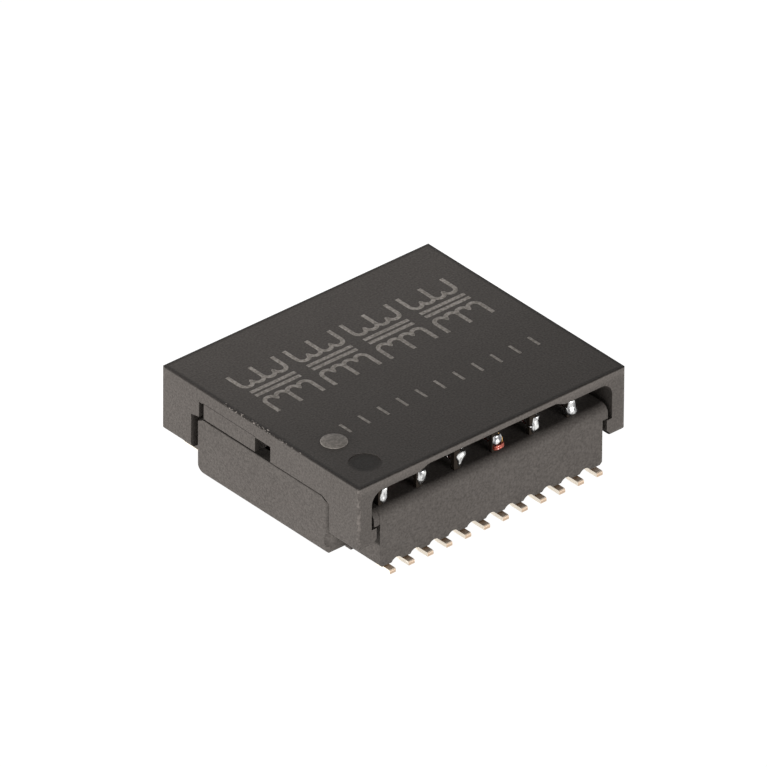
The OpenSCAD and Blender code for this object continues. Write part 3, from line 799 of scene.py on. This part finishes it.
def model_joint(number, sizes):
    """Solder round one post: rings drawn up from the foot, smoothed, and ruffled as it set."""
    shape = joint_shape(number)
    post = joint_middle(number)
    lean = row_sign(number) * shape.lean * MM
    foot_z = joint_foot(number, sizes.wire)
    height = SOLDER_TOP - foot_z
    # Each ring's height as a share of the whole, and its half width in millimetres
    rings = (
        (0.0, 0.6 * shape.foot),
        (0.1, shape.foot),
        (shape.belly_at, shape.belly),
        (0.5 * (shape.belly_at + 0.9), shape.waist),
        (0.88, shape.crown),
        (1.0, 0.7 * shape.crown),
    )
    deselect()
    bpy.ops.mesh.primitive_circle_add(
        vertices=12, radius=rings[0][1] * MM, fill_type="NGON", location=(post.x, post.y, foot_z)
    )
    piece = bpy.context.object
    bpy.ops.object.mode_set(mode="EDIT")
    bpy.ops.mesh.select_all(action="SELECT")
    for (low, before), (high, after) in zip(rings, rings[1:]):
        step = Vector((lean * (high - low), 0, (high - low) * height))
        bpy.ops.mesh.extrude_region_move(TRANSFORM_OT_translate={"value": step})
        middle = Vector((post.x + lean * high, post.y, foot_z + high * height))
        bpy.ops.transform.resize(value=(after / before,) * 2 + (1,), center_override=middle)
        bpy.ops.transform.rotate(
            value=math.radians(shape.twist) * (high - low), orient_axis="Z", center_override=middle
        )
    bpy.ops.mesh.select_all(action="SELECT")
    bpy.ops.mesh.normals_make_consistent(inside=False)
    bpy.ops.object.mode_set(mode="OBJECT")
    apply_modifier(piece, "SUBSURF", levels=2, render_levels=2)
    # Three waves a millimetre, with a stretch of the noise of its own for each joint
    waves, stretch = 3.0, Vector((number * 7.0, 0, 0))
    for vertex in piece.data.vertices:
        vertex.co.x *= ALONG_ROW
        vertex.co.y *= ACROSS_ROW
        at = (piece.matrix_world @ vertex.co) * PER_MM
        vertex.co += noise.noise_vector(at * waves + stretch) * sizes.solder_wave
    return piece


def model_nub(number):
    """A drop of solder that was drawn out sideways and set as a blunt spike."""
    outwards = row_sign(number)
    radius, spike, rise = 0.07 * MM, 1.2, 0.06 * MM
    middle = joint_middle(number)
    start = Vector((middle.x - outwards * 0.2 * MM, middle.y - outwards * 0.1 * MM, SOLDER_BASE + 0.42 * MM))
    deselect()
    bpy.ops.mesh.primitive_uv_sphere_add(segments=12, ring_count=8, radius=radius, location=start)
    piece = bpy.context.object
    for vertex in piece.data.vertices:
        if outwards * vertex.co.x < 0:
            share = abs(vertex.co.x) / radius
            vertex.co.x *= 1 + spike * share
            vertex.co.z += rise * share * share
    return piece


class MODULE_OT_solder_joints(bpy.types.Operator):
    """Model the solder on every post"""

    bl_idname = "module.solder_joints"
    bl_label = "Solder joints"

    def execute(self, context):
        noise.seed_set(SOLDER_SEED)
        sizes = context.scene.module_sizes
        solder = solder_alloy(context.scene.module_colours)
        for number in range(1, len(LEADS) + 1):
            piece = model_joint(number, sizes)
            if joint_shape(number).nub:
                piece = join([piece, model_nub(number)])
            piece = finish_piece(piece, f"solder_joint_{number:02d}", solder)
            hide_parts("front_solder_joints" if number <= SIDE_LEADS else "back_solder_joints")
        return {"FINISHED"}


class MODULE_OT_wire_wraps(bpy.types.Operator):
    """Wind the turns of wire that stay bare under the solder"""

    bl_idname = "module.wire_wraps"
    bl_label = "Wire wraps"

    def execute(self, context):
        sizes = context.scene.module_sizes
        colours = context.scene.module_colours
        enamel = enamelled_copper("red_enamelled_copper", colours.enamel, colours.enamel)
        for number in range(1, len(LEADS) + 1):
            turns = joint_shape(number).bare_turns
            if turns:
                middle = joint_middle(number)
                middle.x += row_sign(number) * WRAP_ASIDE
                points = wrap_points(middle, turns, sizes.wire)
                piece = wire_along(points, sizes.wire)
                finish_piece(piece, f"wire_wrap_{number:02d}", enamel)
        return {"FINISHED"}


def wrap_points(post, turns, wire):
    """Points of a winding round a flat post, loose at the corners, from the block up."""
    steps = 12
    # A power below 1 squares the ring off, as the post's corners do
    squared = 0.6
    reach = (LEAD_WIDTH / 2 + 0.8 * wire, LEAD_WIDTH / 3 + 0.8 * wire)
    points = []
    for i in range(turns * steps + 1):
        angle = 2 * math.pi * i / steps
        x, y = (
            middle + far * math.copysign(abs(share) ** squared, share)
            for middle, far, share in zip(post, reach, (math.cos(angle), math.sin(angle)))
        )
        points.append(Vector((x, y, SOLDER_BASE + wire * (0.5 + i / steps))))
    return points


class MODULE_OT_stray_wire(bpy.types.Operator):
    """Bend the thin wire that stands off the fourth outer post in front"""

    bl_idname = "module.stray_wire"
    bl_label = "Stray wire"

    def execute(self, context):
        sizes = context.scene.module_sizes
        colours = context.scene.module_colours
        middle = joint_middle(STRAY_LEAD)
        # In millimetres, from the solder's crown, out beside the post and back in to the bare turns
        bends = (
            (0.16, 0, 0.92),
            (0.26, -0.06, 0.8),
            (0.36, -0.1, 0.6),
            (0.36, -0.1, 0.4),
            (0.26, -0.1, 0.22),
        )
        start = Vector((middle.x, middle.y, SOLDER_BASE))
        points = [start + Vector(bend) * MM for bend in bends]
        piece = wire_along(points, sizes.bare_wire)
        gold = enamelled_copper("pale_enamelled_copper", colours.enamel_gold, colours.enamel_gold)
        finish_piece(piece, "stray_wire", gold)
        return {"FINISHED"}


def lay_stroke(points, width, height):
    """One stroke of the marking: a round cord along points, pressed almost flat on the cover."""
    piece = wire_along([Vector((x, y, 0)) for x, y in points], width, sides=8, order=2)
    for vertex in piece.data.vertices:
        vertex.co.z = COVER_HIGH.z + vertex.co.z * 2 * height / width
    return piece


def coil_points(x, baseline, loop, inwards):
    """Points along the four half rings of a coil, drawn from -X to +X and bulging inwards."""
    steps = 10
    points = []
    for place in (-3, -1, 1, 3):
        for i in range(steps + 1):
            angle = math.pi * (1 - i / steps)
            away = baseline + inwards * loop * math.sin(angle)
            points.append((x + loop * (place + math.cos(angle)), away))
    return points


class MODULE_OT_marking(bpy.types.Operator):
    """Mark the cover with a plain diagram of its transformers, ticks for the leads and the pin-one dot"""

    bl_idname = "module.marking"
    bl_label = "Marking"

    def execute(self, context):
        sizes = context.scene.module_sizes
        colours = context.scene.module_colours
        ink = laser_marking("laser_marking", colours.marking, colours.marking_deep)
        width, height = sizes.stroke, sizes.ink
        # The radius of a coil's loops, and half the length of its four loops
        loop = 0.375 * MM
        half_coil = 4 * loop
        # The diagrams' middle, and from it to a coil and to a core's bar, and the length of a coil's tails
        coil_y, coil_gap, core_gap, tail = 2.6 * MM, 1.05 * MM, 0.2 * MM, 1.0 * MM
        tick_y, tick = -2.4 * MM, 0.9 * MM
        strokes = []
        for channel in range(CHANNELS):
            x = (channel - (CHANNELS - 1) / 2) * LEADS_PER_CHANNEL * LEAD_PITCH
            for side in (-1, 1):
                baseline = coil_y + side * coil_gap
                bar_y = coil_y + side * core_gap
                strokes.append(coil_points(x, baseline, loop, -side))
                strokes.append(((x - half_coil, bar_y), (x + half_coil, bar_y)))
                for place in (-1, 0, 1):
                    tap = x + place * half_coil
                    strokes.append(((tap, baseline), (tap, baseline + side * tail)))
        strokes = [lay_stroke(points, width, height) for points in strokes]
        for number in range(2, SIDE_LEADS + 1):
            x = lead_middle(number).x
            strokes.append(lay_stroke(((x, tick_y), (x, tick_y - tick)), 0.7 * width, height))
        finish_piece(join(strokes), "top_marking", ink)
        self.dot(sizes, laser_marking("laser_dot", colours.dot, colours.dot_deep))
        return {"FINISHED"}

    def dot(self, sizes, ink):
        """The pin-one dot, slightly proud, with a bevelled rim, inwards from lead one."""
        x, y, thick = -6.96 * MM, -3.4 * MM, 0.03 * MM
        deselect()
        bpy.ops.mesh.primitive_cylinder_add(
            vertices=48, radius=sizes.pin_dot / 2, depth=2 * thick, location=(x, y, COVER_HIGH.z)
        )
        piece = bpy.context.object
        apply_modifier(piece, "BEVEL", width=0.8 * thick, segments=2, limit_method="ANGLE")
        finish_piece(piece, "pin_one_dot", ink)


class MODULE_OT_edge_burrs(bpy.types.Operator):
    """Leave crumbs of flash on the cover's upper edge over the tongue, as trimming does"""

    bl_idname = "module.edge_burrs"
    bl_label = "Edge burrs"

    def execute(self, context):
        noise.seed_set(FLASH_SEED)
        draw = random.Random(FLASH_SEED)
        # In millimetres: the least and greatest radius, the first, last and most common place along the
        # edge, and how far a crumb lies in from the edge and down from the top at most
        count, radii, along, most_in, most_down = 90, (0.02, 0.055), (-3.2, 3.4, 0.4), 0.15, 0.04
        # How often a millimetre the crumbs' faces change, and by what share of their radius
        waves, depth = 12, 0.5
        crumbs = []
        for _ in range(count):
            size = draw.uniform(*radii) * MM
            y = draw.triangular(*along) * MM
            x = COVER_LOW.x + draw.uniform(0, most_in) * MM
            z = COVER_HIGH.z - draw.uniform(0, most_down) * MM
            deselect()
            bpy.ops.mesh.primitive_ico_sphere_add(subdivisions=2, radius=size, location=(x, y, z))
            crumb = bpy.context.object
            crumb.scale = (draw.uniform(0.5, 1), draw.uniform(0.8, 2.2), draw.uniform(0.4, 1))
            bpy.ops.object.transform_apply(location=True, rotation=True, scale=True)
            for vertex in crumb.data.vertices:
                vertex.co += noise.noise_vector(vertex.co * PER_MM * waves) * size * depth
            crumbs.append(crumb)
        flash = torn_flash(context.scene.module_colours)
        finish_piece(join(crumbs), "edge_burrs", flash)
        return {"FINISHED"}


# ---- Stage ----


class MODULE_OT_studio(bpy.types.Operator):
    """Set up the floor, the lamps, the sky and the camera"""

    bl_idname = "module.studio"
    bl_label = "Studio"

    def execute(self, context):
        studio = context.scene.module_studio
        context.scene.view_settings.view_transform = "Standard"
        self.floor(context.scene.module_colours, studio.paper_glow)
        self.sky(context.scene, studio)
        # Azimuth and elevation in degrees, level, and length and breadth in metres
        self.lamp("end_lamp", -12, 5, studio.end_light, (0.36, 0.12))
        self.lamp("side_lamp", 98, 5, studio.side_light, (0.36, 0.12))
        self.lamp("back_lamp", 222, 6, studio.back_light, (0.7, 0.14))
        self.lamp("strip_lamp", 270, 56, studio.strip_light, (0.05, 0.006), distance=0.0214)
        self.camera(context.scene, studio)
        return {"FINISHED"}

    def floor(self, colours, glow):
        """A wide sheet of paper under the part."""
        deselect()
        bpy.ops.mesh.primitive_grid_add(x_subdivisions=8, y_subdivisions=8, size=6)
        floor = bpy.context.object
        floor.name = "floor"
        floor.data.materials.append(pale_paper(colours, glow))

    def sky(self, scene, studio):
        """White where it is seen, and dim where it only lights."""
        world = bpy.data.worlds.new("studio")
        scene.world = world
        world.use_nodes = True
        tree = world.node_tree
        tree.nodes.clear()
        _, seen = seen_rays(tree)
        lit = add_node(tree, "ShaderNodeBackground", {"Color": linear("#fff1e6"), "Strength": studio.sky})
        white = add_node(tree, "ShaderNodeBackground", {"Color": linear("#ffffff"), "Strength": 1.0})
        mixed = add_node(tree, "ShaderNodeMixShader", {0: seen, 1: lit.outputs[0], 2: white.outputs[0]})
        add_node(tree, "ShaderNodeOutputWorld", {"Surface": mixed.outputs[0]})

    def lamp(self, name, azimuth, elevation, level, size, distance=0.8):
        """A soft panel that looks at the part. Azimuth 0 is at the -X end and 90 is in front of the -Y side.
        A white face that looks at a panel small for its distance renders at the level given."""
        turn, rise = math.radians(azimuth), math.radians(elevation)
        away = Vector((-math.cos(turn) * math.cos(rise), -math.sin(turn) * math.cos(rise), math.sin(rise)))
        deselect()
        bpy.ops.object.light_add(
            type="AREA", location=away * distance, rotation=away.to_track_quat("Z", "Y").to_euler()
        )
        lamp = bpy.context.object
        lamp.name = name
        lamp.data.shape = "RECTANGLE"
        lamp.data.size, lamp.data.size_y = size
        lamp.data.energy = level * math.pi**2 * distance**2
        lamp.visible_camera = False

    def camera(self, scene, studio):
        """A long lens that looks down at the corner between the -X end and the front row."""
        turn, rise = studio.azimuth, studio.elevation
        ahead = Vector((math.sin(turn) * math.cos(rise), math.cos(turn) * math.cos(rise), -math.sin(rise)))
        right = Vector((math.cos(turn), -math.sin(turn), 0))
        up = right.cross(ahead)
        middle = Vector((0, 0, COVER_HIGH.z))
        aim = middle - right * studio.aim_left - up * studio.aim_down
        level = ahead.to_track_quat("-Z", "Y").to_matrix()
        deselect()
        bpy.ops.object.camera_add(
            location=aim - ahead * studio.distance,
            rotation=(level @ Matrix.Rotation(studio.roll, 3, "Z")).to_euler(),
        )
        camera = bpy.context.object
        camera.data.lens = studio.lens
        camera.data.sensor_width = SENSOR_WIDTH
        camera.data.clip_start, camera.data.clip_end = 0.01, 20
        scene.camera = camera


# ---- Panel and registration ----

OPERATORS = (
    MODULE_OT_mouldings,
    MODULE_OT_leads,
    MODULE_OT_magnetics,
    MODULE_OT_solder_joints,
    MODULE_OT_wire_wraps,
    MODULE_OT_stray_wire,
    MODULE_OT_marking,
    MODULE_OT_edge_burrs,
    MODULE_OT_studio,
)


class MODULE_PT_panel(bpy.types.Panel):
    """Lists the steps and their settings"""

    bl_idname = "MODULE_PT_panel"
    bl_label = "Transformer module"
    bl_space_type = "VIEW_3D"
    bl_region_type = "UI"
    bl_category = "Module"

    def draw(self, context):
        scene = context.scene
        for settings in (scene.module_sizes, scene.module_colours, scene.module_studio):
            box = self.layout.box()
            for name in settings.__annotations__:
                box.prop(settings, name)
        for operator in OPERATORS:
            self.layout.operator(operator.bl_idname)


CLASSES = (ModuleSizes, ModuleColours, StudioSettings, *OPERATORS, MODULE_PT_panel)


def register():
    for cls in CLASSES:
        bpy.utils.register_class(cls)
    bpy.types.Scene.module_sizes = bpy.props.PointerProperty(type=ModuleSizes)
    bpy.types.Scene.module_colours = bpy.props.PointerProperty(type=ModuleColours)
    bpy.types.Scene.module_studio = bpy.props.PointerProperty(type=StudioSettings)


def unregister():
    for name in ("module_sizes", "module_colours", "module_studio"):
        delattr(bpy.types.Scene, name)
    for cls in reversed(CLASSES):
        bpy.utils.unregister_class(cls)


def main():
    register()
    bpy.ops.module.mouldings()
    bpy.ops.module.leads()
    bpy.ops.module.magnetics()
    bpy.ops.module.solder_joints()
    bpy.ops.module.wire_wraps()
    bpy.ops.module.stray_wire()
    bpy.ops.module.marking()
    bpy.ops.module.edge_burrs()
    bpy.ops.module.studio()


if __name__ == "__main__":
    main()
